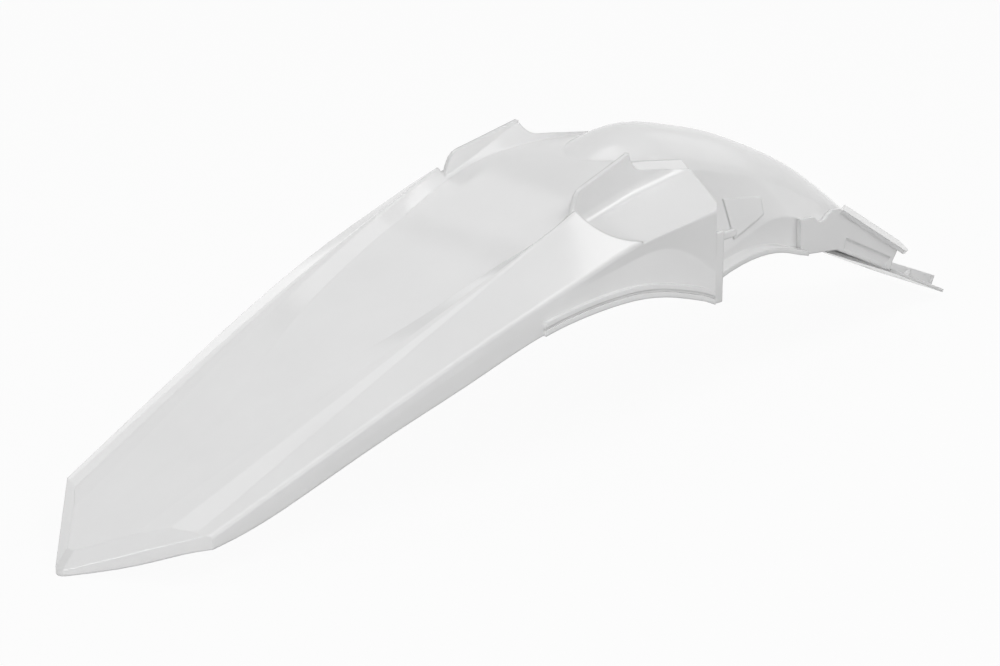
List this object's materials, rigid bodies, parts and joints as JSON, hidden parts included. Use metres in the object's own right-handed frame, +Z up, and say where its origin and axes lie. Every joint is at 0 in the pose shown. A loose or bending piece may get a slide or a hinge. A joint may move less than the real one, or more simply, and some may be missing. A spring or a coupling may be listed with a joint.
{
  "type": "motorcycle rear fender",
  "caption": "Thin-walled motocross rear fender with a bevelled arrow tail, side-panel pockets, an arched saddle over the tyre, side ears with rails, and a bolt-on front tongue.",
  "frame": {"origin": "middle of the box around the fender, at the height of its lowest point, the tip of the tail", "axes": "+X forward along the motorcycle, from the tail to the tongue; +Y to the rider's left; +Z up"},
  "size_m": [0.69, 0.1852, 0.1645],
  "materials": {
    "fender_plastic": "glossy white injection-moulded polypropylene"
  },
  "bodies": {
    "root": {"rear_fender": "fender_plastic"}
  },
  "joints": []
}
